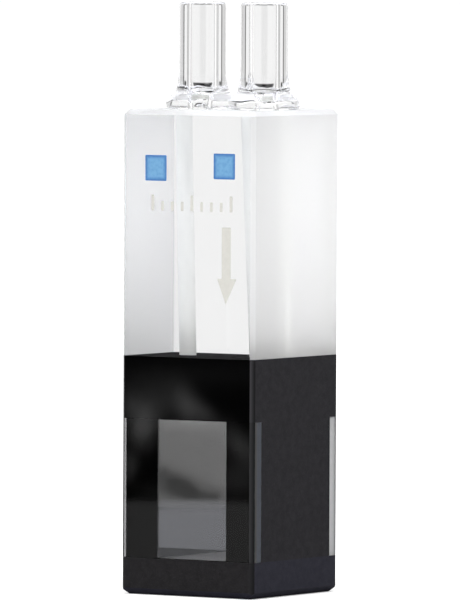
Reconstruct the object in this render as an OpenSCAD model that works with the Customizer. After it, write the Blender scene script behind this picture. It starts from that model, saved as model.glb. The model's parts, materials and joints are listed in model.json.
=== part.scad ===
// Flow-through absorption cuvette with a square body.
// A black quartz cell with two clear windows stands under a tall clear quartz block.
// Two slanted bores lead from the tubes on top, down through the block, to the chamber:
// the inlet reaches the chamber's floor through the right wall, and the outlet leaves
// its ceiling beside the left wall. All pieces are fused face to face.
// Millimetres. The origin is the centre of the base's underside, +Z is up, and the front
// window faces -Y.

/* [Body] */
// Outer width and depth of the square body
body_w = 12.5; // [12:0.1:15]
// Thickness of the black base plate
base_t = 2.9; // [2:0.1:5]
// Height of the windows and of the chamber between them
window_h = 11.1; // [8:0.1:20]
// Height of the black header above the windows
header_h = 4.95; // [3:0.05:9]
// Height of the clear block on the header
block_h = 19.6; // [10:0.1:30]

/* [Chamber] */
// Light path, the distance between the windows' inner faces
light_path = 10; // [9.5:0.1:10.5]
// Thickness of the chamber's wall on the outlet side
left_wall_t = 3; // [2:0.05:3.5]
// Thickness of the chamber's wall on the inlet side, which holds the inlet bore
right_wall_t = 3; // [2.8:0.05:3.5]

/* [Edges] */
// Bevel along the body's four upright edges
side_bevel = 0.32; // [0.1:0.02:0.6]
// Bevel round the top of the clear block
top_bevel = 0.4; // [0.1:0.05:0.45]
// Bevel round the underside of the base plate
base_bevel = 0.5; // [0.1:0.05:0.8]

/* [Flow bores] */
// Diameter of both bores
bore_d = 1.5; // [1:0.1:1.7]
// How far the inlet bore crosses the top of the block outside its tube's axis
inlet_offset = 0.2; // [0:0.05:0.4]
// How far the outlet bore crosses the top of the block outside its tube's axis
outlet_offset = 0.15; // [0:0.05:0.4]
// Glass left between the inlet bore's foot and the outside of the right wall
inlet_cover = 0.65; // [0.3:0.05:0.7]
// Step from the chamber's left side to the edge of the outlet bore in its ceiling
outlet_step = 0.05; // [0.05:0.05:1]
// How much narrower than the inlet bore the channel from its foot into the chamber is
channel_step = 0.3; // [0.1:0.05:0.4]

/* [Tubes] */
// Outer diameter of the inlet and outlet tubes
tube_od = 3.8; // [3:0.1:4]
// Wall thickness of the tubes
tube_wall = 0.9; // [0.5:0.05:1.1]
// Height of the tubes above the block
tube_h = 8.5; // [5:0.1:20]
// Distance of the tubes and bores behind the middle of the body
tube_back = 0.3; // [0:0.05:0.6]
// Radius of the fire-polished rim edges
rim_round = 0.32; // [0.1:0.02:0.44]

/* [Tube feet] */
// How far a foot's bead of melted glass stands out from the tube's wall
bead_out = 0.95; // [0.9:0.05:1]
// Height of the bead
bead_h = 1; // [0.6:0.1:1.4]
// Radius of the bead's upper edge
bead_round = 0.5; // [0.2:0.05:0.6]
// How far the flare above the bead stands out from the tube's wall at its lower end
flare_out = 0.9; // [0.5:0.05:0.9]
// Height at which the flare has run out into the tube
flare_h = 2.7; // [2:0.1:4]
// Gap between the two feet
foot_gap = 0.15; // [0.1:0.05:0.4]
// Glass left under the tube's bore, which the slanted bore runs on through
foot_floor = 1.65; // [1:0.05:2.5]

/* [Hidden] */
$fn = 96;

half_w = body_w / 2;
pane_t = (body_w - light_path) / 2;   // windows and header plates fill what the light path leaves
floor_z = base_t;                     // top of the base plate, the chamber's floor
ceiling_z = floor_z + window_h;
joint_z = ceiling_z + header_h;       // where the black cell meets the clear block
top_z = joint_z + block_h;
chamber_left = left_wall_t - half_w;
chamber_right = half_w - right_wall_t;
tube_r = tube_od / 2;
foot_r = tube_r + bead_out;
tube_x = foot_r + foot_gap / 2;       // the tubes stand as close together as their feet let them
inlet_top_x = tube_x + inlet_offset;
outlet_top_x = -tube_x - outlet_offset;
inlet_foot_x = half_w - inlet_cover - bore_d / 2;
outlet_foot_x = chamber_left + outlet_step + bore_d / 2;
channel_w = bore_d - channel_step;
over = 0.5;                           // how far a cutter runs past the face it cuts
flare_power = 1.5;                    // above 1, the flare steepens towards the bead
flare_steps = 12;

// Square with its four corners cut off at 45 degrees
module bevelled_square(w, bevel) {
    h = w / 2;
    b = h - bevel;
    polygon([[-b, -h], [b, -h], [h, -b], [h, b], [b, h], [-b, h], [-h, b], [-h, -b]]);
}

// Length of the square body between two heights, with its upright edges bevelled
module body_length(z0, z1) {
    translate([0, 0, z0])
        linear_extrude(z1 - z0)
            bevelled_square(body_w, side_bevel);
}

// Side view of a block between two heights, with its lower and upper corners cut off
module bevelled_profile(z0, z1, low, high) {
    polygon([
        [-half_w + low, z0], [half_w - low, z0], [half_w, z0 + low], [half_w, z1 - high],
        [half_w - high, z1], [-half_w + high, z1], [-half_w, z1 - high], [-half_w, z0 + low]
    ]);
}

// The profile run through the body's full depth
module profile_through(z0, z1, low, high) {
    translate([0, half_w, 0])
        rotate([90, 0, 0])
            linear_extrude(body_w)
                bevelled_profile(z0, z1, low, high);
}

// Length of the body whose lower and upper edges are bevelled on all four sides
module bevelled_block(z0, z1, low, high) {
    intersection() {
        body_length(z0, z1);
        profile_through(z0, z1, low, high);
        rotate([0, 0, 90])
            profile_through(z0, z1, low, high);
    }
}

// Slab across the body's full width between two depths and two heights
module slab(y0, y1, z0, z1) {
    translate([-half_w, y0, z0])
        cube([body_w, y1 - y0, z1 - z0]);
}

// Front layer of the body, as thick as a window
module front_layer(z0, z1) {
    intersection() {
        body_length(z0, z1);
        slab(-half_w, pane_t - half_w, z0, z1);
    }
}

// Straight bore through a point on top of the block and a point lower down. It starts
// just above the floor of the tube's foot and runs on past the lower point.
module bore_between(x_top, x_foot, z_foot) {
    lean = atan2(x_foot - x_top, top_z - z_foot);
    rise = (foot_floor + over) / cos(lean);
    reach = (top_z - z_foot) / cos(lean);
    translate([x_top, tube_back, top_z])
        rotate([0, 180 - lean, 0])
            translate([0, 0, -rise])
                cylinder(d = bore_d, h = rise + reach + over);
}

// The inlet runs down inside the right wall to the base plate
module inlet_bore() {
    bore_between(inlet_top_x, inlet_foot_x, floor_z);
}

// The outlet starts in the chamber's ceiling, beside the left wall
module outlet_bore() {
    bore_between(outlet_top_x, outlet_foot_x, ceiling_z);
}

module chamber() {
    translate([chamber_left, -half_w, floor_z - over])
        cube([chamber_right - chamber_left, body_w, window_h + over]);
}

// Channel in the foot of the right wall, from the inlet bore into the chamber
module inlet_channel() {
    translate([chamber_right - over, tube_back - channel_w / 2, floor_z - over])
        cube([inlet_foot_x - chamber_right + over, channel_w, channel_w + over]);
}

// Outline of a tube's wall and fused foot, for turning about the tube's axis
module tube_outline() {
    bore_r = tube_r - tube_wall;
    rim_r = min(rim_round, tube_wall / 2);
    round_r = min(bead_round, bead_h);
    flare_z = bead_h / 2;
    difference() {
        union() {
            square([tube_r, tube_h - rim_r]);
            square([tube_r - rim_r, tube_h]);
            translate([tube_r - rim_r, tube_h - rim_r])
                circle(rim_r);
            square([foot_r, bead_h - round_r]);
            square([foot_r - round_r, bead_h]);
            translate([foot_r - round_r, bead_h - round_r])
                circle(round_r);
            polygon([
                [0, flare_z],
                for (i = [0 : flare_steps])
                    let (t = i / flare_steps)
                        [
                            tube_r + flare_out * pow(1 - t, flare_power),
                            flare_z + (flare_h - flare_z) * t
                        ],
                [0, flare_h]
            ]);
        }
        translate([-over, foot_floor])
            square([bore_r + over, tube_h - foot_floor + over]);
        // the rim's inner edge is rounded like the outer one
        difference() {
            translate([-over, tube_h - rim_r])
                square([bore_r + rim_r + over, rim_r + over]);
            translate([bore_r + rim_r, tube_h - rim_r])
                circle(rim_r);
        }
    }
}

module tube(x) {
    translate([x, tube_back, top_z])
        rotate_extrude()
            tube_outline();
}

module base_plate() {
    color([0.11, 0.11, 0.13])
        bevelled_block(0, floor_z, base_bevel, 0);
}

// Black walls and header in one piece, between the windows
module cell_body() {
    color([0.09, 0.09, 0.1])
        difference() {
            slab(-light_path / 2, light_path / 2, floor_z, joint_z);
            chamber();
            inlet_bore();
            inlet_channel();
            outlet_bore();
        }
}

module front_window() {
    color([0.8, 0.86, 0.9, 0.5])
        front_layer(floor_z, ceiling_z);
}

module back_window() {
    color([0.8, 0.86, 0.9, 0.5])
        rotate([0, 0, 180])
            front_layer(floor_z, ceiling_z);
}

module front_header() {
    color([0.06, 0.06, 0.07])
        front_layer(ceiling_z, joint_z);
}

module back_header() {
    color([0.06, 0.06, 0.07])
        rotate([0, 0, 180])
            front_layer(ceiling_z, joint_z);
}

module clear_block() {
    color([0.9, 0.92, 0.95, 0.6])
        difference() {
            bevelled_block(joint_z, top_z, 0, top_bevel);
            inlet_bore();
            outlet_bore();
        }
}

module inlet_tube() {
    color([0.9, 0.95, 0.97, 0.5])
        difference() {
            tube(tube_x);
            inlet_bore();
        }
}

module outlet_tube() {
    color([0.9, 0.95, 0.97, 0.5])
        difference() {
            tube(-tube_x);
            outlet_bore();
        }
}

base_plate();
cell_body();
front_window();
back_window();
front_header();
back_header();
clear_block();
inlet_tube();
outlet_tube();
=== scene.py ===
"""Flow-through cuvette: black cell, clear block and fused tubes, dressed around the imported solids."""

import json
import math

import bmesh
import bpy
from mathutils import Matrix, Vector


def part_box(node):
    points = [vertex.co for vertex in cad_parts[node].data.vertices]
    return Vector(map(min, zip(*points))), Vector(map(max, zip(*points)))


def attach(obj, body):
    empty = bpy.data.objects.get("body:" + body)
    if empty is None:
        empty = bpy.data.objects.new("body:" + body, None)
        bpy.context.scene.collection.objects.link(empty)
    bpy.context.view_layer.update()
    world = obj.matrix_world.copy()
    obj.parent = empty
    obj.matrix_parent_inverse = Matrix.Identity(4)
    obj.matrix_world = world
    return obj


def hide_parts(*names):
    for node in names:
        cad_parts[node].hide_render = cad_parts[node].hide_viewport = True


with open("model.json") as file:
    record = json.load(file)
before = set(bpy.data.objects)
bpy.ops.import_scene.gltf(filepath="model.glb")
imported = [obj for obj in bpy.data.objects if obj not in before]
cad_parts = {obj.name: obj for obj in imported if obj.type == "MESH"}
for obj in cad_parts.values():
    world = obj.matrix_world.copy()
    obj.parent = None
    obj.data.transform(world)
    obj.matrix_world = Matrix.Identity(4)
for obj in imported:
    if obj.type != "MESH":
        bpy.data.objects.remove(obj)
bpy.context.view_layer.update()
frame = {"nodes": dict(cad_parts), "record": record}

MM = 0.001

# Camera, a long lens near the bench
CAMERA_AZIMUTH = math.radians(33.138)
CAMERA_ELEVATION = math.radians(2.41)
CAMERA_ROLL = math.radians(0.242)
CAMERA_DISTANCE = 819.5 * MM
CAMERA_TARGET = Vector((-0.563, 0.803, 23.289)) * MM
LENS = 616.6
SENSOR = 36.0
CLIP_NEAR, CLIP_FAR = 10 * MM, 20000 * MM
LIGHT_BOUNCES = 24

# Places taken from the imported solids
block_low, block_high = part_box("clear_block")
window_low, window_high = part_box("front_window")
back_low, back_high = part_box("back_window")
mounts = {m["name"]: m for m in frame["record"]["mounts"]}

HALF = block_high.x
JOINT_Z = block_low.z
TOP_Z = block_high.z
FLOOR_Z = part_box("base_plate")[1].z
CEILING_Z = window_high.z
TUBE_TOP_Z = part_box("inlet_tube")[1].z
CHAMBER_LEFT = -3.25 * MM     # inner sides of the cell's two walls
CHAMBER_RIGHT = 3.25 * MM
SIDE_BEVEL = 0.32 * MM        # along the body's upright edges
TOP_BEVEL = 0.4 * MM          # round the top of the clear block
BOND_GAP = 0.01 * MM          # fused faces stand this far apart, so that none coincide
SLIVER = 0.001 * MM           # well under the size of anything that is made

# Tubes
TUBE_X = mounts["inlet_hose"]["pos_m"][0]
TUBE_R = mounts["inlet_hose"]["dims"]["r_mm"] * MM
MOUTH_R = mounts["inlet_mouth"]["dims"]["r_mm"] * MM
FUSED_R = 2.6 * MM            # the feet are fused to the block this far out from their axes

# Bores: the points where they cross the top of the block, a little outside the tubes' axes, and
# their feet in the black cell
BORE_R = 0.75 * MM
BORE_SIDES = 256
BORE_Y = 0.3 * MM
INLET_OFFSET = 0.2 * MM
OUTLET_OFFSET = 0.15 * MM
INLET_COVER = 0.65 * MM       # glass between the inlet's foot and the outside of the right wall
OUTLET_STEP = 0.05 * MM       # from the chamber's left side to the edge of the outlet's foot
INLET_TOP = Vector((TUBE_X + INLET_OFFSET, BORE_Y, TOP_Z))
INLET_FOOT = Vector((HALF - INLET_COVER - BORE_R, BORE_Y, FLOOR_Z))
OUTLET_TOP = Vector((-TUBE_X - OUTLET_OFFSET, BORE_Y, TOP_Z))
OUTLET_FOOT = Vector((CHAMBER_LEFT + OUTLET_STEP + BORE_R, BORE_Y, CEILING_Z))


# ---------------------------------------------------------------- camera


def add_camera():
    a, e = CAMERA_AZIMUTH, CAMERA_ELEVATION
    back = Vector((math.sin(a) * math.cos(e), -math.cos(a) * math.cos(e), math.sin(e)))
    data = bpy.data.cameras.new("camera")
    data.sensor_width = SENSOR
    data.lens = LENS
    data.clip_start = CLIP_NEAR
    data.clip_end = CLIP_FAR
    camera = bpy.data.objects.new("camera", data)
    bpy.context.scene.collection.objects.link(camera)
    turn = back.to_track_quat("Z", "Y").to_matrix() @ Matrix.Rotation(CAMERA_ROLL, 3, "Z")
    camera.matrix_world = Matrix.Translation(CAMERA_TARGET + back * CAMERA_DISTANCE) @ turn.to_4x4()
    bpy.context.scene.camera = camera
    bpy.context.scene.view_settings.view_transform = "Standard"


def let_light_through():
    """Light may cross and bounce inside the clear quartz many times."""
    cycles = bpy.context.scene.cycles
    cycles.max_bounces = LIGHT_BOUNCES
    cycles.glossy_bounces = LIGHT_BOUNCES
    cycles.transmission_bounces = LIGHT_BOUNCES
    cycles.transparent_max_bounces = LIGHT_BOUNCES


add_camera()
let_light_through()


# ---------------------------------------------------------------- shader nodes


class Signal:
    """A node's output. Arithmetic on it adds Math nodes to the same tree."""

    def __init__(self, tree, socket):
        self.tree = tree
        self.socket = socket

    def math(self, operation, first, second=0.0):
        return self.tree.node("ShaderNodeMath", {"operation": operation}, {0: first, 1: second})

    def __add__(self, other):
        return self.math("ADD", self, other)

    def __radd__(self, other):
        return self.math("ADD", other, self)

    def __sub__(self, other):
        return self.math("SUBTRACT", self, other)

    def __rsub__(self, other):
        return self.math("SUBTRACT", other, self)

    def __mul__(self, other):
        return self.math("MULTIPLY", self, other)

    def __rmul__(self, other):
        return self.math("MULTIPLY", other, self)

    def __gt__(self, other):
        return self.math("GREATER_THAN", self, other)

    def __lt__(self, other):
        return self.math("LESS_THAN", self, other)

    def __abs__(self):
        return self.math("ABSOLUTE", self)

    def __or__(self, other):
        return self.math("MAXIMUM", self, other)

    def __and__(self, other):
        return self.math("MINIMUM", self, other)


class Tree:
    """The nodes of one finish, or of the world."""

    def __init__(self, owner):
        owner.use_nodes = True
        self.nodes = owner.node_tree.nodes
        self.links = owner.node_tree.links
        self.nodes.clear()

    def node(self, kind, settings=None, inputs=None, output=0):
        """Adds a node, sets what it does, then feeds its inputs with values or signals."""
        made = self.nodes.new(kind)
        for name, value in (settings or {}).items():
            if name == "stops":
                set_stops(made.color_ramp, value)
            else:
                setattr(made, name, value)
        for name, value in (inputs or {}).items():
            if isinstance(value, Signal):
                self.links.new(value.socket, made.inputs[name])
            else:
                made.inputs[name].default_value = value
        return Signal(self, made.outputs[output]) if made.outputs else None

    def place(self):
        """The surface point's x, y and z in the part's own frame, in metres."""
        point = self.node("ShaderNodeTexCoord", output="Object")
        return point, *self.split(point)

    def split(self, vector):
        parts = self.node("ShaderNodeSeparateXYZ", inputs={0: vector})
        outputs = parts.socket.node.outputs
        return [Signal(self, outputs[i]) for i in range(3)]

    def facing(self):
        """The surface's true normal as x, y and z."""
        return self.split(self.node("ShaderNodeNewGeometry", output="True Normal"))

    def ramp(self, value, low, high, at_low=0.0, at_high=1.0):
        """Runs smoothly from at_low to at_high as value goes from low to high."""
        return self.node(
            "ShaderNodeMapRange",
            {"interpolation_type": "SMOOTHSTEP"},
            {0: value, 1: low, 2: high, 3: at_low, 4: at_high},
        )

    def blend(self, share, first, second):
        """Mixes two colours."""
        return self.node(
            "ShaderNodeMix",
            {"data_type": "RGBA"},
            {"Factor": share, 6: first, 7: second},
            output=2,
        )

    def grain(self, point, size, detail=2.0, roughness=0.5):
        """Soft noise from 0 to 1 with features of about that size, in metres."""
        return self.node(
            "ShaderNodeTexNoise",
            inputs={"Vector": point, "Scale": 1 / size, "Detail": detail, "Roughness": roughness},
        )

    def bump(self, height, distance):
        return self.node("ShaderNodeBump", inputs={"Height": height, "Distance": distance})


def set_stops(ramp, stops):
    """Gives a colour ramp its stops: (position, colour) pairs."""
    while len(ramp.elements) < len(stops):
        ramp.elements.new(0.5)
    for element, (position, colour) in zip(ramp.elements, stops):
        element.position = position
        element.color = (*colour, 1)


def new_finish(name):
    material = bpy.data.materials.new(name)
    return material, Tree(material)


def surface(tree, shader, inputs):
    """One shader as the whole surface."""
    tree.node("ShaderNodeOutputMaterial", inputs={0: tree.node(shader, inputs=inputs)})


# ---------------------------------------------------------------- finishes

QUARTZ_IOR = 1.46
WHITE = (1, 1, 1, 1)
NO_LIGHT = (0, 0, 0, 1)

# Black quartz. A pair holds the colours of its darker and its paler patches.
MIRROR_BLACK = (0.0004, 0.0004, 0.0005, 1)
CELL_SIDE = ((0.0122, 0.0115, 0.0145, 1), (0.0188, 0.0179, 0.0215, 1))
# The base plate's sides and front take different colours: painted light, each matched to how that face is
# lit.
PLATE_SIDE = ((0.0150, 0.0150, 0.0250, 1), (0.0210, 0.0210, 0.0325, 1))
PLATE_FRONT = ((0.0124, 0.0115, 0.0128, 1), (0.0178, 0.0168, 0.0184, 1))
SPECKS = (0.0310, 0.0298, 0.0330, 1)
# Painted shading across the upright bevels: paler next to the front, darker next to the side.
CELL_BEVEL = (0.040, 0.039, 0.043, 1)   # the cell's upright bevels next to the front,
PLATE_BEVEL = (0.018, 0.0175, 0.0195, 1)    # the base plate's there,
BEVEL_AT_SIDE = (0.008, 0.008, 0.009, 1)    # and both next to the side
CHAMBER_FLOOR = (0.22, 0.22, 0.23, 1)   # the ground floor looks grey in the light from both windows
CHAMBER_COAT = 0.4            # the chamber's walls mirror more than the outside
SKIN = 0.02 * MM              # a point this near a face counts as lying on it

# Ground faces of the clear quartz
JOINT_SHADE = 13 * MM         # painted shade darkens them up to this far above the black cell
FRONT_SHADE = (-3.5 * MM, -0.5 * MM)    # and painted shade darkens the right face in front of here
BORE_WHITE = ((0.91, 0.92, 0.91, 1), (0.95, 0.96, 0.95, 1))
PANE_STREAK = (0.62, 0.64, 0.68, 1)
INK_GRAIN = 0.3 * MM


def across_side_bevel(x, y):
    """Runs over the body's upright bevels, from -1 next to the front or back to 1 next to the side."""
    return (abs(x) - abs(y)) * (1 / SIDE_BEVEL)


def black_quartz():
    """Black fused quartz: polished front, back and chamber, finely ground elsewhere."""
    material, tree = new_finish("black_quartz")
    point, x, y, z = tree.place()
    nx, ny, nz = tree.facing()
    outer = (abs(y) > HALF - SKIN) & (abs(ny) > 0.9) & (z > FLOOR_Z)
    in_chamber = (
        (x > CHAMBER_LEFT - SKIN)
        & (x < CHAMBER_RIGHT + SKIN)
        & (z > FLOOR_Z - SKIN)
        & (z < CEILING_Z + SKIN)
        & (abs(y) < back_low.y + SKIN)
    )
    on_floor = in_chamber * (nz > 0.9)
    polished = outer | in_chamber * (1 - on_floor)
    mirror = tree.node("ShaderNodeBsdfPrincipled", inputs={
        "Base Color": MIRROR_BLACK,
        "Roughness": 0.0,
        "IOR": QUARTZ_IOR,
        "Coat Weight": in_chamber * CHAMBER_COAT,
        "Coat Roughness": 0.0,
    })
    cloud = tree.grain(point, 1.8 * MM, 3)
    speck = tree.grain(point, 0.11 * MM, 2, 0.7)
    mottle = tree.ramp(tree.grain(point, 0.7 * MM, 4, 0.65), 0.3, 0.7)
    plate = z < FLOOR_Z
    # Painted light: the plate's front and back faces take one colour and its sides another, for how each
    # face is lit.
    plate_colour = tree.blend(
        abs(ny) > 0.9, tree.blend(mottle, *PLATE_SIDE), tree.blend(mottle, *PLATE_FRONT)
    )
    colour = tree.blend(plate, tree.blend(mottle, *CELL_SIDE), plate_colour)
    colour = tree.blend(tree.ramp(speck, 0.45, 0.85, 0.0, 0.8), colour, SPECKS)
    # Painted shading: across each upright bevel the colour runs from pale next to the front to dark next
    # to the side.
    along_bevel = across_side_bevel(x, y)
    on_bevel = (abs(nx) > 0.5) & (abs(ny) > 0.5) & (abs(along_bevel) < 1.1)
    near_front = tree.blend(plate, CELL_BEVEL, PLATE_BEVEL)
    bevel_painted_shade = tree.blend(tree.ramp(along_bevel, -1.0, 1.0), near_front, BEVEL_AT_SIDE)
    colour = tree.blend(on_bevel, colour, bevel_painted_shade)
    ground = tree.node("ShaderNodeBsdfPrincipled", inputs={
        "Base Color": tree.blend(on_floor, colour, CHAMBER_FLOOR),
        "Roughness": 0.55 + 0.1 * cloud,
        "Specular IOR Level": 0.12,
        "IOR": QUARTZ_IOR,
        "Normal": tree.bump(speck, 0.006 * MM),
    })
    both = tree.node("ShaderNodeMixShader", inputs={0: polished, 1: ground, 2: mirror})
    tree.node("ShaderNodeOutputMaterial", inputs={0: both})
    return material


def polished_quartz():
    """Clear fused quartz with polished faces."""
    material, tree = new_finish("polished_quartz")
    surface(tree, "ShaderNodeBsdfPrincipled", {
        "Base Color": WHITE,
        "Roughness": 0.0,
        "Transmission Weight": 1.0,
        "IOR": QUARTZ_IOR,
    })
    return material


def ground_quartz(name, roughness, tint, matt, at_joint=1.0, at_front=1.0, fused_feet=False):
    """Clear quartz with a ground, frosted face: rough glass with a share of matt white.

    Its colour is painted darker towards the black cell and towards the front, down to the shares
    given: painted shade. Under the tubes' feet it may be fused, with no surface left."""
    material, tree = new_finish(name)
    point, x, y, z = tree.place()
    cloud = tree.grain(point, 2.5 * MM, 3)
    pale = tuple(0.5 + 0.5 * part for part in tint)
    colour = tree.blend(cloud, (*tint, 1), (*pale, 1))
    # Painted shade: the colour goes darker towards the black cell and towards the front.
    share = tree.ramp(z, JOINT_Z, JOINT_Z + JOINT_SHADE, at_joint, 1.0)
    share = share * tree.ramp(y, *FRONT_SHADE, at_front, 1.0)
    colour = tree.blend(share, NO_LIGHT, colour)
    clear = {
        "Base Color": colour,
        "Roughness": roughness + 0.08 * cloud,
        "Transmission Weight": 1.0,
        "IOR": QUARTZ_IOR,
    }
    white = {"Base Color": colour, "Roughness": 1.0, "Specular IOR Level": 0.0}
    if fused_feet:
        off_axis = abs(x) - TUBE_X
        behind = y - BORE_Y
        free = off_axis * off_axis + behind * behind > FUSED_R ** 2
        clear["Alpha"] = free
        white["Alpha"] = free
    both = tree.node("ShaderNodeMixShader", inputs={
        0: matt,
        1: tree.node("ShaderNodeBsdfPrincipled", inputs=clear),
        2: tree.node("ShaderNodeBsdfPrincipled", inputs=white),
    })
    tree.node("ShaderNodeOutputMaterial", inputs={0: both})
    return material


def bore_quartz():
    """Walls of the drilled bores: so finely ground that they look matt white through the glass."""
    material, tree = new_finish("bore_quartz")
    point, x, y, z = tree.place()
    cloud = tree.grain(point, 1.5 * MM, 3)
    colour = tree.blend(cloud, *BORE_WHITE)
    # Painted shade: the bores' colour goes darker near the black cell.
    share = tree.ramp(z, JOINT_Z, JOINT_Z + JOINT_SHADE / 4, 0.75, 1.0)
    surface(tree, "ShaderNodeBsdfPrincipled", {
        "Base Color": tree.blend(share, NO_LIGHT, colour),
        "Roughness": 1.0,
        "Specular IOR Level": 0.0,
    })
    return material


def pane_edge(name, tint, shaded, dark_at, pale_at):
    """Ground edge of a window, with painted shade. Its colour runs from its tint to the grey shade given,
    as the distance from the body's middle plane goes from pale_at to dark_at, in millimetres."""
    material, tree = new_finish(name)
    point, x, y, z = tree.place()
    streak = tree.grain(point, 0.25 * MM, 2)
    # Painted shade: the colour runs to the grey shade towards the window's outer face.
    shade = tree.ramp(abs(y), pale_at * MM, dark_at * MM)
    colour = tree.blend(shade, (*tint, 1), (shaded, shaded, shaded, 1))
    surface(tree, "ShaderNodeBsdfPrincipled", {
        "Base Color": tree.blend(tree.ramp(streak, 0.4, 0.8, 0.0, 0.35), colour, PANE_STREAK),
        "Roughness": 0.8,
        "Transmission Weight": 0.93,
        "IOR": QUARTZ_IOR,
    })
    return material


def fused_joint():
    """The underside of a foot, which melts into the block with no surface between them."""
    material, tree = new_finish("fused_joint")
    surface(tree, "ShaderNodeBsdfPrincipled", {
        "Base Color": WHITE,
        "Alpha": 0.0,
    })
    return material


def cold_grey(level):
    return (level, level, level * 1.05, 1)


def bonded_black(name, low, high, across_bevel=False):
    """Black quartz seen through the clear quartz that it is fused to, with no gloss of its own.

    Across a bevel its colour is painted shading, from low, next to the side, to high, next to the front."""
    material, tree = new_finish(name)
    point, x, y, z = tree.place()
    if across_bevel:
        # Painted shading across the bevel.
        share = tree.ramp(across_side_bevel(x, y), 1.0, -1.0)
    else:
        share = tree.grain(point, 1.2 * MM, 2)
    surface(tree, "ShaderNodeBsdfPrincipled", {
        "Base Color": tree.blend(share, cold_grey(low), cold_grey(high)),
        "Roughness": 1.0,
        "Specular IOR Level": 0.0,
    })
    return material


def ink(name, colour, edge_colour, low, high, edge):
    """Matt print on the field between two corners, in millimetres, darker within edge of its outline."""
    material, tree = new_finish(name)
    point, x, y, z = tree.place()
    wobble = (tree.grain(point, INK_GRAIN, 2) - 0.5) * (0.5 * edge * MM)
    inside = (x - low[0] * MM) & (high[0] * MM - x) & (z - low[1] * MM) & (high[1] * MM - z)
    mottle = tree.ramp(tree.grain(point, INK_GRAIN, 3), 0.35, 0.7, 0.0, 0.3)
    rim = tree.ramp(inside + wobble, 0.0, edge * MM, 1.0, 0.0)
    surface(tree, "ShaderNodeBsdfPrincipled", {
        "Base Color": tree.blend(rim | mottle, (*colour, 1), (*edge_colour, 1)),
        "Roughness": 0.8,
        "Specular IOR Level": 0.2,
    })
    return material


BLACK_QUARTZ = black_quartz()
POLISHED_QUARTZ = polished_quartz()
# The ground faces' tints differ from face to face: painted light, each matched to how that face is lit.
GROUND_QUARTZ = ground_quartz("ground_quartz", 0.5, (0.965, 0.965, 0.965), matt=0.1, at_joint=0.85)
GROUND_RIGHT = ground_quartz("ground_right", 0.5, (1.0, 0.99, 0.975), matt=0.18, at_front=0.86)
GROUND_TOP = ground_quartz("ground_top", 0.45, (1.0, 1.0, 1.0), matt=0.2, fused_feet=True)
GROUND_LEFT = ground_quartz("ground_left", 0.7, (0.95, 0.955, 0.97), matt=0.35, at_joint=0.75)
BORE_QUARTZ = bore_quartz()
# The window edges' tints differ from edge to edge: painted light, each matched to how that edge is lit,
# the front window's right edge bluish.
PANE_EDGE = pane_edge("ground_pane_edge", (0.77, 0.76, 0.74), 0.28, dark_at=6.1, pale_at=5.5)
LEFT_PANE_EDGE = pane_edge("ground_left_pane_edge", (0.62, 0.61, 0.6), 0.28, dark_at=6.1, pale_at=5.5)
FRONT_PANE_EDGE = pane_edge("ground_front_pane_edge", (0.72, 0.8, 1.0), 0.72, dark_at=5.9, pale_at=5.4)
PANE_BEVEL = bonded_black("pane_bevel", 0.009, 0.033, across_bevel=True)
FUSED_JOINT = fused_joint()
CELL_TOP = bonded_black("bonded_cell_top", 0.018, 0.026)
CELL_CORE = bonded_black("bonded_cell_core", 0.0002, 0.0004)


# ---------------------------------------------------------------- modelling helpers


def deselect():
    bpy.ops.object.select_all(action="DESELECT")


def select_only(piece):
    deselect()
    piece.select_set(True)
    bpy.context.view_layer.objects.active = piece


def place_in_mesh():
    bpy.ops.object.transform_apply(location=True, rotation=True, scale=True)


def box_piece(name, low, high):
    """Rectangular piece between two corners, with its place in its mesh."""
    deselect()
    bpy.ops.mesh.primitive_cube_add(size=1, location=(low + high) / 2, scale=high - low)
    piece = bpy.context.active_object
    piece.name = name
    place_in_mesh()
    return piece


def choose(piece, kind, wanted):
    """In edit mode, selects the edges or faces that wanted picks by their middle and direction."""
    bpy.ops.mesh.select_mode(type=kind)
    bpy.ops.mesh.select_all(action="DESELECT")
    mesh = bmesh.from_edit_mesh(piece.data)
    if kind == "EDGE":
        for edge in mesh.edges:
            start, end = (v.co for v in edge.verts)
            edge.select_set(wanted((start + end) / 2, (end - start).normalized()))
    else:
        for face in mesh.faces:
            face.select_set(wanted(face.calc_center_median(), face.normal))
    bmesh.update_edit_mesh(piece.data)


def edit(piece):
    select_only(piece)
    bpy.ops.object.mode_set(mode="EDIT")


def leave_edit():
    bpy.ops.object.mode_set(mode="OBJECT")


def chamfer(piece, wanted, width):
    """Cuts the wanted edges off at 45 degrees."""
    edit(piece)
    choose(piece, "EDGE", wanted)
    bpy.ops.mesh.bevel(offset=width, offset_type="OFFSET", segments=1, affect="EDGES")
    leave_edit()


def upright(middle, direction):
    return abs(direction.z) > 0.9


CUTTER_PAST = 1 * MM          # how far a cutter runs on past each end of its bore


def bore_cutter(top, foot):
    """Round cutter along a slanted bore, a little longer than the bore at both ends."""
    axis = (top - foot).normalized()
    start, end = foot - axis * CUTTER_PAST, top + axis * CUTTER_PAST
    deselect()
    bpy.ops.mesh.primitive_cylinder_add(
        vertices=BORE_SIDES,
        radius=BORE_R,
        depth=(end - start).length,
        location=(start + end) / 2,
        rotation=axis.to_track_quat("Z", "Y").to_euler(),
    )
    cutter = bpy.context.active_object
    place_in_mesh()
    return cutter


def cut_away(piece, cutter):
    """Takes the cutter's form out of the piece, and deletes the cutter."""
    select_only(piece)
    cut = piece.modifiers.new("cut", "BOOLEAN")
    cut.operation = "DIFFERENCE"
    cut.solver = "EXACT"
    cut.object = cutter
    bpy.ops.object.modifier_apply(modifier=cut.name)
    bpy.data.objects.remove(cutter)


def smooth(piece, angle):
    select_only(piece)
    bpy.ops.object.shade_smooth_by_angle(angle=math.radians(angle))


def paint(piece, finishes, pick):
    """Gives each face the finish that pick chooses by its middle and normal."""
    piece.data.materials.clear()
    for finish in finishes:
        piece.data.materials.append(finish)
    for face in piece.data.polygons:
        face.material_index = finishes.index(pick(face.center, face.normal))


# ---------------------------------------------------------------- clear pieces


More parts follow.
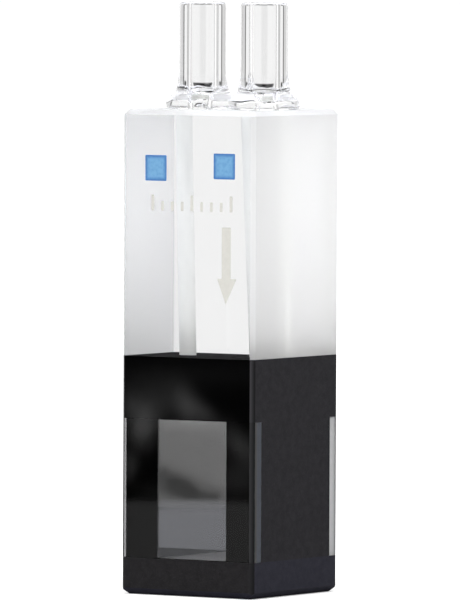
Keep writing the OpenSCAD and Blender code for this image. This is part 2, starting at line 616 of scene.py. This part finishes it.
def make_block():
    """Tall clear block with ground sides, polished front and back, and its two bores."""
    low = Vector(block_low) + Vector((0, 0, BOND_GAP))
    piece = box_piece("clear_block_glass", low, block_high)
    chamfer(piece, upright, SIDE_BEVEL)
    chamfer(piece, lambda middle, direction: middle.z > TOP_Z - SLIVER, TOP_BEVEL)
    for top, foot in ((INLET_TOP, INLET_FOOT), (OUTLET_TOP, OUTLET_FOOT)):
        cut_away(piece, bore_cutter(top, foot))

    def pick(middle, normal):
        if abs(normal.y) > 0.99 and abs(middle.y) > HALF - SLIVER:
            return POLISHED_QUARTZ
        if normal.z < -0.9:
            return CELL_TOP
        if normal.z > 0.6:
            return GROUND_TOP
        if max(abs(middle.x), abs(middle.y)) < HALF - TOP_BEVEL:
            return BORE_QUARTZ
        if abs(normal.x) < 0.9:
            return GROUND_QUARTZ
        return GROUND_LEFT if normal.x < 0 else GROUND_RIGHT

    finishes = (
        POLISHED_QUARTZ, GROUND_QUARTZ, CELL_TOP, GROUND_TOP, BORE_QUARTZ, GROUND_LEFT, GROUND_RIGHT
    )
    paint(piece, finishes, pick)
    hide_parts("clear_block")
    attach(piece, "root")


def make_window(name, node, low, high, side):
    """Clear window; side is -1 at the front and 1 at the back. Only its face over the chamber is free."""
    inset = Vector((0, BOND_GAP if side > 0 else 0, BOND_GAP))
    outset = Vector((0, 0 if side > 0 else BOND_GAP, BOND_GAP))
    piece = box_piece(name, Vector(low) + inset, Vector(high) - outset)
    chamfer(
        piece,
        lambda middle, direction: upright(middle, direction) and middle.y * side > HALF - SLIVER,
        SIDE_BEVEL,
    )
    for x in (CHAMBER_LEFT, CHAMBER_RIGHT):
        edit(piece)
        bpy.ops.mesh.select_all(action="SELECT")
        bpy.ops.mesh.bisect(plane_co=(x, 0, 0), plane_no=(1, 0, 0))
        leave_edit()

    def pick(middle, normal):
        if normal.y * side > 0.99:
            return POLISHED_QUARTZ
        if normal.y * side < -0.99:
            return POLISHED_QUARTZ if CHAMBER_LEFT < middle.x < CHAMBER_RIGHT else CELL_CORE
        if abs(normal.z) > 0.9:
            return CELL_CORE
        if abs(normal.x) < 0.99:
            return PANE_BEVEL
        if side > 0:
            return PANE_EDGE
        return FRONT_PANE_EDGE if normal.x > 0 else LEFT_PANE_EDGE

    finishes = (
        POLISHED_QUARTZ, PANE_EDGE, CELL_CORE, PANE_BEVEL, FRONT_PANE_EDGE, LEFT_PANE_EDGE
    )
    paint(piece, finishes, pick)
    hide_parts(node)
    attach(piece, "root")


# The melted foot's outline above the block: radius and height, in millimetres. A bead of glass
# bulges at the bottom, and the flare over it runs out into the tube.
FOOT_OUTLINE = (
    (2.66, 0.0), (2.79, 0.1), (2.84, 0.25), (2.86, 0.45), (2.85, 0.58), (2.81, 0.7), (2.74, 0.8),
    (2.64, 0.88), (2.53, 0.95), (2.42, 1.02), (2.32, 1.1), (2.24, 1.2), (2.175, 1.31), (2.12, 1.44),
    (2.075, 1.6), (2.035, 1.78), (2.0, 1.98), (1.965, 2.22), (1.94, 2.48), (1.92, 2.8),
)
# The end of the bore, a cone over the floor of the foot
BORE_END = (
    (1.0, 1.35), (1.0, 1.25), (0.99, 1.235), (0.98, 1.223), (0.8, 1.043), (0.785, 1.03), (0.76, 1.02),
    (0.6, 1.02), (0.3, 1.02),
)
FOOT_FLOOR = 1.2 * MM         # the slanted bores run on above the block, through this much glass
SMOOTH_ANGLE = 50             # edges sharper than this many degrees stay sharp

# Plain heights between the foot and the rim, where rings hold the walls straight
STRAIGHT_FROM = 3.3           # outside, and a little lower inside
BORE_FROM = 3.0
HALFWAY = 0.6                 # share of the tube's height
BELOW_RIM = 0.8               # this far under the rim outside,
BELOW_MOUTH = 0.01            # and this far under the rounding inside
RIM_ROUND = 0.32
RIM_DEPTH = 0.12              # how far the rounding of the rim's inner edge reaches down the bore
RIM_STEPS = 8
TUBE_SIDES = 128

MELTED_FROM, MELTED_TO = 0.05, 1.5      # heights between which the glass is uneven
MELT_SIZE = 1.5 * MM          # size of the lumps
MELT_DEPTH = 0.25 * MM        # and their height
MELT_MIDDLE = 0.45            # level of the lumps that leaves the outline where it is
MELT_LEAN = 0.22 * MM         # how far the outlet's foot has sagged away from the inlet's
FEET_MEET = 0.4               # this near the body's middle the feet stay even


def tube_rings(height):
    """(radius, height) of each ring of the tube, in millimetres, from its foot to its bore's end."""
    outer, inner = TUBE_R / MM, MOUTH_R / MM
    turns = [math.pi / 2 * step / RIM_STEPS for step in range(RIM_STEPS + 1)]
    rings = list(FOOT_OUTLINE)
    rings += [(outer, STRAIGHT_FROM), (outer, height * HALFWAY), (outer, height - BELOW_RIM)]
    for turn in turns:
        rings.append((outer - RIM_ROUND * (1 - math.cos(turn)), height - RIM_ROUND * (1 - math.sin(turn))))
    for turn in reversed(turns):
        rings.append((inner + RIM_ROUND * (1 - math.cos(turn)), height - RIM_DEPTH * (1 - math.sin(turn))))
    rings += [(inner, height - RIM_DEPTH - BELOW_MOUTH), (inner, height * HALFWAY), (inner, BORE_FROM)]
    return rings + list(BORE_END)


def melt(piece, x):
    """Makes the foot's outside uneven, but not its underside nor where it meets the other foot."""
    group = piece.vertex_groups.new(name="melted")
    for vertex in piece.data.vertices:
        level = (vertex.co.z - TOP_Z) / MM
        out = math.hypot(vertex.co.x - x, vertex.co.y - BORE_Y)
        if out < TUBE_R - SKIN or not MELTED_FROM < level < MELTED_TO:
            continue
        rise = math.sin(math.pi * level / MELTED_TO) ** 0.5
        clear = min(1.0, max(0.0, abs(vertex.co.x) / MM - FEET_MEET))
        group.add([vertex.index], rise * clear, "REPLACE")
        if x < 0:
            vertex.co.x -= MELT_LEAN * clear * (1 - level / MELTED_TO)
    lumps = bpy.data.textures.new("melted_lumps", "CLOUDS")
    lumps.noise_scale = MELT_SIZE
    lumps.noise_depth = 1
    move = piece.modifiers.new("melt", "DISPLACE")
    move.texture = lumps
    move.texture_coords = "GLOBAL"
    move.vertex_group = group.name
    move.mid_level = MELT_MIDDLE
    move.strength = MELT_DEPTH
    select_only(piece)
    bpy.ops.object.modifier_apply(modifier=move.name)
    piece.vertex_groups.clear()


def make_tube(name, node, x, bore_top, bore_foot):
    """Clear tube on a foot of melted glass, raised ring by ring from a circle on the block."""
    (radius, level), *rings = tube_rings((TUBE_TOP_Z - TOP_Z) / MM)
    deselect()
    bpy.ops.mesh.primitive_circle_add(
        vertices=TUBE_SIDES,
        radius=radius * MM,
        fill_type="NGON",
        location=(x, BORE_Y, TOP_Z + BOND_GAP + level * MM),
    )
    piece = bpy.context.active_object
    piece.name = name
    place_in_mesh()
    edit(piece)
    bpy.ops.mesh.select_all(action="SELECT")
    for next_r, next_z in rings:
        bpy.ops.mesh.extrude_region_move(
            TRANSFORM_OT_translate={"value": (0, 0, (next_z - level) * MM)}
        )
        bpy.ops.transform.resize(
            value=(next_r / radius, next_r / radius, 1),
            center_override=(x, BORE_Y, TOP_Z),
        )
        radius, level = next_r, next_z
    bpy.ops.mesh.select_all(action="SELECT")
    bpy.ops.mesh.normals_make_consistent(inside=False)
    leave_edit()
    melt(piece, x)
    past_floor = (bore_top - bore_foot).normalized() * FOOT_FLOOR
    cut_away(piece, bore_cutter(bore_top + past_floor, bore_foot))

    def pick(middle, normal):
        underside = normal.z < -0.99 and middle.z < TOP_Z + 2 * BOND_GAP
        return FUSED_JOINT if underside else POLISHED_QUARTZ

    paint(piece, (POLISHED_QUARTZ, FUSED_JOINT), pick)
    smooth(piece, SMOOTH_ANGLE)
    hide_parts(node)
    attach(piece, "root")


make_block()
make_window("front_window_glass", "front_window", window_low, window_high, -1)
make_window("back_window_glass", "back_window", back_low, back_high, 1)
make_tube("inlet_tube_glass", "inlet_tube", TUBE_X, INLET_TOP, INLET_FOOT)
make_tube("outlet_tube_glass", "outlet_tube", -TUBE_X, OUTLET_TOP, OUTLET_FOOT)

for node in ("base_plate", "cell_body", "front_header", "back_header"):
    solid = frame["nodes"][node]
    solid.data.materials.clear()
    solid.data.materials.append(BLACK_QUARTZ)


# ---------------------------------------------------------------- print

PRINT_T = 0.01 * MM
PRINT_CORNER = 0.08           # radius of a field's corners, in millimetres,
CORNER_SHARE = 0.3            # and the most of its width that one takes

# Corners of the printed fields on the front face: x and z, in millimetres
LEFT_SQUARE = ((-4.02, 32.92), (-2.01, 34.96))
RIGHT_SQUARE = ((2.45, 33.15), (4.46, 35.18))
TICKS_FIELD = ((-3.43, 30.56), (4.24, 31.82))
ARROW_FIELD = ((2.72, 23.33), (4.54, 29.35))
TICKS = 9
TICK_W = 0.27
LONG_TICK_EVERY = 4
SHORT_TICK = 0.6              # share of a long tick's height
ARROW_SHAFT = (3.25, 4.10)
ARROW_NECK_Z = 25.3
ARROW_POINT = 0.02            # width of the arrow's tip, as a share of its head's
HEAD_STEP = 0.01 * MM         # height over which the shaft widens into the head

BLUE = (0.175, 0.39, 0.63)
BLUE_EDGE = (0.055, 0.175, 0.46)
GREY = (0.65, 0.64, 0.60)
GREY_EDGE = (0.56, 0.55, 0.51)


def print_blank(name, low, high):
    """Thin block of print on the front face, between two corners in millimetres."""
    return box_piece(
        name,
        Vector((low[0] * MM, -HALF - PRINT_T, low[1] * MM)),
        Vector((high[0] * MM, -HALF - SLIVER, high[1] * MM)),
    )


def finish_print(piece, finish):
    paint(piece, (finish,), lambda middle, normal: finish)
    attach(piece, "root")


def print_field(name, low, high, finish, slot):
    """Thin printed field on the front face, with slightly rounded corners."""
    piece = print_blank(name, low, high)
    edit(piece)
    choose(piece, "EDGE", lambda middle, direction: abs(direction.y) > 0.9)
    corner = min(PRINT_CORNER, CORNER_SHARE * (high[0] - low[0])) * MM
    bpy.ops.mesh.bevel(offset=corner, offset_type="OFFSET", segments=4, affect="EDGES")
    leave_edit()
    finish_print(piece, finish)


def make_squares():
    for name, field in (("mark_left", LEFT_SQUARE), ("mark_right", RIGHT_SQUARE)):
        finish = ink("blue_ink_" + name, BLUE, BLUE_EDGE, *field, edge=0.4)
        print_field(name, *field, finish, "mark_blue")


def make_ticks():
    """Row of plain bars like those of a scale, with a long one at every fourth place."""
    (x0, z0), (x1, z1) = TICKS_FIELD
    finish = ink("grey_ink_ticks", GREY, GREY_EDGE, *TICKS_FIELD, edge=0.1)
    step = (x1 - x0 - TICK_W) / (TICKS - 1)
    for index in range(TICKS):
        left = x0 + step * index
        top = z1 if index % LONG_TICK_EVERY == 0 else z0 + SHORT_TICK * (z1 - z0)
        print_field(f"mark_tick_{index + 1}", (left, z0), (left + TICK_W, top), finish, "mark_grey")


def make_arrow():
    """Arrow that shows the way of the flow: the shaft's lower edge is drawn out into the head."""
    (head_left, tip_z), (head_right, shaft_top) = ARROW_FIELD
    finish = ink("grey_ink_arrow", GREY, GREY_EDGE, *ARROW_FIELD, edge=0.12)
    middle = ((head_left + head_right) / 2 * MM, 0, 0)
    shaft_left, shaft_right = ARROW_SHAFT
    piece = print_blank("mark_arrow", (shaft_left, ARROW_NECK_Z), (shaft_right, shaft_top))
    edit(piece)
    choose(piece, "FACE", lambda place, normal: normal.z < -0.9)
    wide = (head_right - head_left) / (shaft_right - shaft_left)
    for drop, widen in ((-HEAD_STEP, wide), ((tip_z - ARROW_NECK_Z) * MM, ARROW_POINT)):
        bpy.ops.mesh.extrude_region_move(TRANSFORM_OT_translate={"value": (0, 0, drop)})
        bpy.ops.transform.resize(value=(widen, 1, 1), center_override=middle)
    leave_edit()
    finish_print(piece, finish)


make_squares()
make_ticks()
make_arrow()


# ---------------------------------------------------------------- stage, light


# The room, in directions seen from the part. BACK is straight away from the camera.
BACK = Vector((-math.sin(CAMERA_AZIMUTH), math.cos(CAMERA_AZIMUTH), 0))
BENCH_NEAR, BENCH_FAR = 118 * MM, 138 * MM    # outer faces mirror the bench top up to here,
GLASS_NEAR, GLASS_FAR = 108 * MM, 122 * MM    # and glass shows it up to here
BENCH = (0.8, 0.8, 0.8, 1)
BENCH_IN_GLASS = (0.78, 0.795, 0.86, 1)
BENCH_IN_GLOSS = (0.34, 0.34, 0.34, 1)
BENCH_GLOW = 0.35             # lifts the bench to white for the camera alone
BENCH_SIZE = 8
BENCH_Z = -0.02 * MM
# Room seen through glass, from the sides to straight behind: how far back a direction points,
# and how bright the room is there. Past the bright sides come grey walls, then a dark slit on
# either side of the backdrop.
ROOM_STEPS = (
    (0.43, 1.15), (0.48, 0.62), (0.745, 0.65), (0.76, 0.12), (0.79, 0.12), (0.81, 0.92),
)
ROOM_SIDE = 1.15
ROOM_FRONT = 0.05             # room round the camera,
FRONT_FADE = (-0.93, -0.87)   # where a direction points this little back,
ROOM_ABOVE = 1.95             # and overhead,
ABOVE_FADE = (0.08, 0.3)      # where it points this high
# A dark card behind the part, over the bench's end: how far back and how high a direction
# points where the card's sides, its foot and its top fade out
CARD_SIDES = (0.9, 0.92)
CARD_FOOT = (-0.33, -0.29)
CARD_TOP = (-0.2, -0.17)
# Room mirrored in outer faces, and how far back a direction points where one part fades
# into the next
GLOSS_FRONT = 0.02
GLOSS_TURN = (-0.35, 0.4)
GLOSS_BACK = 1.0
GLOSS_REAR = (0.6, 0.95)
GLOSS_BEHIND = 1.2            # straight behind
SOFT_LIGHT = 0.85             # room that lights matt surfaces


class FacePlan:
    """Room directions that one mirror sends to the camera, as places on the front face in metres."""

    def __init__(self, flip):
        self.eye = bpy.context.scene.camera.matrix_world.translation
        self.flip = flip
        self.middle = Vector((0, -HALF, (FLOOR_Z + CEILING_Z) / 2))
        self.axis = self.direction(self.middle)
        step = 1 * MM
        self.across = self.scaled(self.direction(self.middle + Vector((step, 0, 0))) - self.axis, step)
        self.up = self.scaled(self.direction(self.middle + Vector((0, 0, step))) - self.axis, step)

    def direction(self, place):
        seen = (place - self.eye).normalized()
        return Vector((seen.x * self.flip[0], seen.y * self.flip[1], seen.z))

    def scaled(self, change, step):
        """A vector whose dot product with a direction grows by step where the direction changes so."""
        return change * (step / change.length_squared)

    def read(self, tree, dx, dy, dz):
        """The place for each direction, and how far the direction is from the plan's axis."""
        def along(vector):
            return dx * vector.x + dy * vector.y + dz * vector.z

        x = along(self.across) - self.axis.dot(self.across) + self.middle.x
        z = along(self.up) - self.axis.dot(self.up) + self.middle.z
        return x, z, along(self.axis)


FRONT_MIRROR = FacePlan((1, -1))      # the polished front face
WALL_MIRROR = FacePlan((-1, 1))       # the chamber's left wall, seen through both windows
PLAN_SPREAD = math.cos(math.radians(3))

# Soft shapes that the polished front mirrors: x, z, half width, half height, lean, brightness
FRONT_CLOUDS = (
    (-4.3, 13.8, 1.15, 1.55, 0.0, 1.0),
    (-4.9, 13.1, 0.9, 0.9, 0.0, 0.2),
    (-5.6, 15.2, 1.0, 1.15, 0.0, 0.4),
    (-2.6, 15.2, 1.8, 1.3, 0.0, 0.28),
    (-0.35, 15.1, 1.05, 1.5, -0.35, 0.7),
    (1.25, 14.6, 1.05, 1.0, -0.7, 0.47),
    (-3.2, 16.6, 2.8, 1.3, -0.4, 0.14),
    (4.9, 12.0, 1.3, 1.45, -0.7, 0.5),
    (4.8, 9.4, 2.1, 1.4, 0.0, 0.26),
    (-5.5, 10.4, 0.75, 1.1, 0.0, 0.34),
    (-3.4, 8.2, 1.3, 0.85, 0.0, 0.08),
    (1.1, 17.7, 8.5, 1.1, 0.0, 0.06),
)
# Shapes mirrored in the chamber's wall, in the same terms, but the last value darkens: a dark mass
# low down, and a pale band above it
WALL_SHADES = (
    (-2.5, 9.8, 1.2, 0.7, 0.0, 0.55),
    (-1.8, 8.65, 1.6, 1.0, 0.0, 0.65),
    (-0.3, 8.85, 1.1, 0.8, -0.5, 0.5),
    (-0.3, 9.1, 2.4, 1.1, 0.0, 0.25),
    (0.6, 8.0, 1.6, 0.85, 0.0, 0.78),
    (2.7, 7.9, 1.1, 0.7, 0.0, 0.7),
    (0.5, 14.1, 4.0, 0.8, 0.0, -0.6),
)
WISP = 1.1 * MM               # size of the wisps that break the shapes up
WISP_SHIFT = 0.5 * MM         # and how far they move the outlines


def soft_shapes(tree, x, z, shapes):
    """The sum of some soft wispy shapes at each place, each fading like a bell curve."""
    spot = tree.node("ShaderNodeCombineXYZ", inputs={0: x, 1: z})
    wisp = (tree.grain(spot, WISP, 3, 0.55) - 0.5) * WISP_SHIFT
    x, z = x + wisp, z - wisp
    total = None
    for x0, z0, half_width, half_height, lean, level in shapes:
        above = z - z0 * MM
        across = (x - x0 * MM - above * lean) * (1 / (half_width * MM))
        up = above * (1 / (half_height * MM))
        shape = level * tree.node(
            "ShaderNodeMath", {"operation": "EXPONENT"}, {0: 0 - (across * across + up * up)}
        )
        total = shape if total is None else total + shape
    return total


def ray_kinds(tree):
    """Whether a ray comes straight from the camera, off a glossy face, or out of glass."""
    outputs = tree.node("ShaderNodeLightPath").socket.node.outputs
    camera, glossy, glass = (
        Signal(tree, outputs[name]) for name in ("Is Camera Ray", "Is Glossy Ray", "Is Transmission Ray")
    )
    return camera, glossy * (1 - glass), glass


def make_floor():
    """Pale bench top, white to the camera apart from the part's shadow."""
    deselect()
    bpy.ops.mesh.primitive_plane_add(size=BENCH_SIZE, location=(0, 0, BENCH_Z))
    floor = bpy.context.active_object
    floor.name = "floor"
    material, tree = new_finish("floor")
    point, x, y, z = tree.place()
    camera, gloss, glass = ray_kinds(tree)
    reach = x * x + y * y
    past_gloss = gloss * tree.ramp(reach, BENCH_NEAR ** 2, BENCH_FAR ** 2)
    past_glass = glass * tree.ramp(reach, GLASS_NEAR ** 2, GLASS_FAR ** 2)
    glow = tree.node("ShaderNodeEmission", inputs={"Color": WHITE, "Strength": BENCH_GLOW * camera})
    plain = tree.node("ShaderNodeBsdfDiffuse", inputs={
        "Color": tree.blend(gloss, tree.blend(glass, BENCH, BENCH_IN_GLASS), BENCH_IN_GLOSS),
    })
    both = tree.node("ShaderNodeAddShader", inputs={0: glow, 1: plain})
    clear = tree.node("ShaderNodeBsdfTransparent")
    ends = tree.node("ShaderNodeMixShader", inputs={0: past_gloss | past_glass, 1: both, 2: clear})
    tree.node("ShaderNodeOutputMaterial", inputs={0: ends})
    floor.data.materials.append(material)


def make_world():
    """White to the camera and soft light on matt faces. Glass and gloss each see a room of their own."""
    world = bpy.data.worlds.new("studio")
    bpy.context.scene.world = world
    tree = Tree(world)
    camera, gloss, glass = ray_kinds(tree)
    dx, dy, dz = tree.split(tree.node("ShaderNodeTexCoord", output="Generated"))
    backward = dx * BACK.x + dy * BACK.y
    stops = [(at, (level / ROOM_SIDE,) * 3) for at, level in ROOM_STEPS]
    level = tree.node("ShaderNodeValToRGB", {"stops": stops}, {0: backward}) * ROOM_SIDE
    level = level + tree.ramp(backward, *FRONT_FADE, 1.0, 0.0) * (ROOM_FRONT - ROOM_SIDE)
    level = level + tree.ramp(dz, *ABOVE_FADE) * (ROOM_ABOVE - level)
    card = tree.ramp(dz, *CARD_FOOT) * tree.ramp(dz, *CARD_TOP, 1.0, 0.0)
    level = level * (1 - card * tree.ramp(backward, *CARD_SIDES))
    x, z, near = WALL_MIRROR.read(tree, dx, dy, dz)
    shade = 1 - (soft_shapes(tree, x, z, WALL_SHADES) & 1.0) * (near > PLAN_SPREAD)
    through = level * shade
    x, z, near = FRONT_MIRROR.read(tree, dx, dy, dz)
    clouds = soft_shapes(tree, x, z, FRONT_CLOUDS) * (near > PLAN_SPREAD)
    mirrored = tree.ramp(backward, *GLOSS_TURN, GLOSS_FRONT, GLOSS_BACK) + clouds
    mirrored = mirrored + tree.ramp(backward, *GLOSS_REAR, 0.0, GLOSS_BEHIND - GLOSS_BACK)
    matt = 1 - camera - gloss - glass
    strength = camera + glass * through + gloss * mirrored + matt * SOFT_LIGHT
    shine = tree.node("ShaderNodeBackground", inputs={"Color": WHITE, "Strength": strength})
    tree.node("ShaderNodeOutputWorld", inputs={0: shine})


# A round lamp overhead, in metres and watts
LAMP_PLACE = Vector((0.15, -0.25, 0.9))
LAMP_TARGET = Vector((0, 0, 0.02))
LAMP_SIZE = 0.6
LAMP_POWER = 6


def add_lamp():
    data = bpy.data.lights.new("overhead", "AREA")
    data.shape = "DISK"
    data.size = LAMP_SIZE
    data.energy = LAMP_POWER
    lamp = bpy.data.objects.new("overhead", data)
    bpy.context.scene.collection.objects.link(lamp)
    lamp.location = LAMP_PLACE
    lamp.rotation_euler = (LAMP_PLACE - LAMP_TARGET).to_track_quat("Z", "Y").to_euler()


add_lamp()
make_floor()
make_world()
